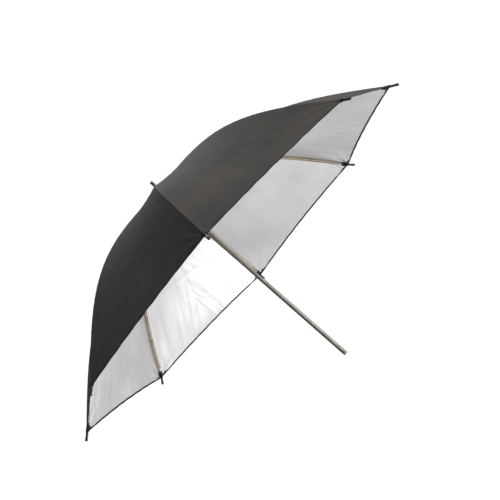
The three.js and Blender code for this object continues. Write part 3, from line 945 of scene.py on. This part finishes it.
def runner():
    """The sliding sleeve, with a grip at its foot and the same slotted ring on top."""
    bore, low, foot = 4.5 * MM, -3.4 * MM, -26 * MM
    sleeve = [(bore, foot), (7.2 * MM, foot), (7.4 * MM, foot + 0.3 * MM), (7.4 * MM, foot + 2.6 * MM),
              (6.8 * MM, foot + 3.3 * MM), (6.2 * MM, foot + 4 * MM), (6.2 * MM, foot + 9 * MM),
              (6.0 * MM, foot + 9.4 * MM), (6.0 * MM, foot + 10 * MM), (6.2 * MM, foot + 10.4 * MM),
              (6.2 * MM, low - 3 * MM), (6.8 * MM, low - 1.4 * MM), (9 * MM, low)]
    profile = sleeve + wire_groove(low, bore)[1:8] + [(bore, foot)]
    made = notched(profile, low, 1.4 * MM)
    made.transform(Matrix.Translation((0, 0, RUNNER.z)))
    return made


def runner_catch():
    """The leaf spring in the shaft, its nose standing out under the runner."""
    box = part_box("runner_catch")
    top = box[1][2]
    outline = [(1.9, -18), (2.7, -18), (2.7, -9), (3.4, -7.3), (5.4, -1.2), (5.6, -0.8), (5.6, -0.1),
               (5.5, 0), (1.9, 0)]
    made = plate([(x * MM, z * MM) for x, z in outline], [], 2.4 * MM)
    made.transform(Matrix.Rotation(HALF_STEP, 4, "Z") @ Matrix.Translation((0, 0, top)))
    return made


def washer():
    """A thin disc that holds the canopy's middle down."""
    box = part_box("canopy_washer")
    low, high = box[0][2], box[1][2]
    outer, bore, soft = 14 * MM, 4.3 * MM, 0.35 * MM
    return lathe([(bore, low), (outer - soft, low), (outer, low + soft), (outer - soft, high - 0.2 * MM),
                  (outer - 1.2 * MM, high), (bore, high), (bore, low)], 72)


def cross_pin(node):
    """A pin through the shaft, between two ribs."""
    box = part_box(node)
    level = (box[0][2] + box[1][2]) / 2
    length = math.hypot(box[1][0] - box[0][0], box[1][1] - box[0][1]) - 0.7 * MM
    turn = Matrix.Rotation(HALF_STEP, 4, "Z") @ Matrix.Rotation(math.pi / 2, 4, "X")
    return rod(0.8 * MM, length, Matrix.Translation((0, 0, level)) @ turn)


def make_shaft():
    root, slider = "shaft_assembly", "runner_slider"
    steel, nylon = "zinc_plated_spring_steel", "charcoal_moulded_nylon"
    at_crown, at_runner = (Matrix.Translation((0, 0, hinge.z)) for hinge in (CROWN, RUNNER))
    shapes = [
        ("shaft_tube", shaft_tube(), "satin_nickel_plated_tube", root, "shaft_steel", "shaft"),
        ("end_plug", end_plug(), "brown_grey_polyethylene", root, "end_plastic", "shaft_end_plug"),
        ("turned_ferrule", ferrule(), "bright_nickel_plated_ferrule", root, "bright_metal",
         "ferrule"),
        ("top_washer", washer(), "glossy_black_abs", root, "black_plastic", "canopy_washer"),
        ("moulded_crown", crown(), nylon, root, "grey_plastic", "crown"),
        ("moulded_runner", runner(), nylon, slider, "grey_plastic", "runner"),
        ("crown_cross_pin", cross_pin("crown_pin"), steel, root, "plated_steel", "crown_pin"),
        ("stop_cross_pin", cross_pin("runner_stop_pin"), steel, root, "plated_steel",
         "runner_stop_pin"),
        ("catch_leaf", runner_catch(), steel, "catch_spring", "plated_steel", "runner_catch"),
        ("crown_hinge_wire", joined([(ring_wire(), at_crown)]), steel, root, "plated_steel",
         "crown_wire"),
        ("runner_hinge_wire", joined([(ring_wire(), at_runner)]), steel, slider, "plated_steel",
         "runner_wire")]
    for name, mesh, finish, body, slot, node in shapes:
        piece(name, mesh, [finish], body, [node])


# ---------- the studio ----------

RIM_CENTRE = Vector((0, 0, float(rib_line(RIB_LENGTH)[1])))
LENS, SENSOR = 78.87, 36.0
CAMERA_AWAY = Vector((0.0256, -1.9754, -0.2811))
LOOK = Vector((0.0004, 0.9904, 0.1384))
CAMERA_UP = Vector((0.7524, -0.0915, 0.6524))
FLOOR_Z, FLOOR_HALF = -2.4, 8.0


def make_camera():
    """A long lens a little below the rim, rolled so that the shaft lies along the diagonal."""
    data = bpy.data.cameras.new("camera")
    data.lens, data.sensor_width, data.clip_start, data.clip_end = LENS, SENSOR, 0.01, 100
    camera = bpy.data.objects.new("camera", data)
    back = -LOOK.normalized()
    right = CAMERA_UP.cross(back).normalized()
    up = back.cross(right)
    turn = Matrix((right, up, back)).transposed().to_4x4()
    camera.matrix_world = Matrix.Translation(RIM_CENTRE + CAMERA_AWAY) @ turn
    bpy.context.scene.collection.objects.link(camera)
    bpy.context.scene.camera = camera


def soft_light(name, toward, distance, size, power):
    """A square softbox that faces the canopy."""
    data = bpy.data.lights.new(name, "AREA")
    data.shape, data.size, data.energy = "SQUARE", size, power
    light = bpy.data.objects.new(name, data)
    aim = RIM_CENTRE + Vector((0, 0, 0.08))
    light.location = aim + Vector(toward).normalized() * distance
    light.rotation_euler = (aim - light.location).to_track_quat("-Z", "Y").to_euler()
    light.visible_camera = False
    bpy.context.scene.collection.objects.link(light)


def make_world():
    """A white room: pure white behind the object, and dimmer light from all sides on it."""
    world = bpy.data.worlds.new("white_studio")
    world.use_nodes = True
    tree = world.node_tree
    tree.nodes.clear()
    toward = add(tree, "ShaderNodeTexCoord", output="Generated")
    height = add(tree, "ShaderNodeSeparateXYZ", {0: toward}, "Z")
    glow = add(tree, "ShaderNodeMapRange", {"Value": height, "To Min": 0.07, "To Max": 0.30})
    room = add(tree, "ShaderNodeBackground", {"Color": linear("#f4f3f1"), "Strength": glow})
    sweep = add(tree, "ShaderNodeBackground", {"Color": (1, 1, 1, 1), "Strength": 1.05})
    seen = add(tree, "ShaderNodeLightPath", output="Is Camera Ray")
    mixed = add(tree, "ShaderNodeMixShader", {0: seen, 1: room, 2: sweep})
    add(tree, "ShaderNodeOutputWorld", {"Surface": mixed})
    bpy.context.scene.world = world


def make_floor():
    corners = [(x * FLOOR_HALF, y * FLOOR_HALF, FLOOR_Z) for x, y in ((-1, -1), (1, -1), (1, 1), (-1, 1))]
    floor = bpy.data.objects.new("floor", mesh_from(corners, [(0, 1, 2, 3)]))
    floor.data.materials.append(MATERIALS["pale_studio_floor"])
    bpy.context.scene.collection.objects.link(floor)


def make_studio():
    """Plain soft light: a key from the camera's right, one up into the bowl, and one from above."""
    bpy.context.scene.view_settings.view_transform = "Standard"
    bpy.context.scene.view_settings.look = "None"
    make_world()
    make_floor()
    soft_light("key_softbox", (0.90, -0.60, 0.00), 2.6, 1.4, 84)
    soft_light("bowl_softbox", (0.45, 0.16, -0.87), 2.0, 0.7, 9)
    soft_light("top_softbox", (0.20, 0.60, 0.78), 2.8, 1.6, 20)


make_camera()
make_canopy()
make_arms()
make_shaft()
make_studio()
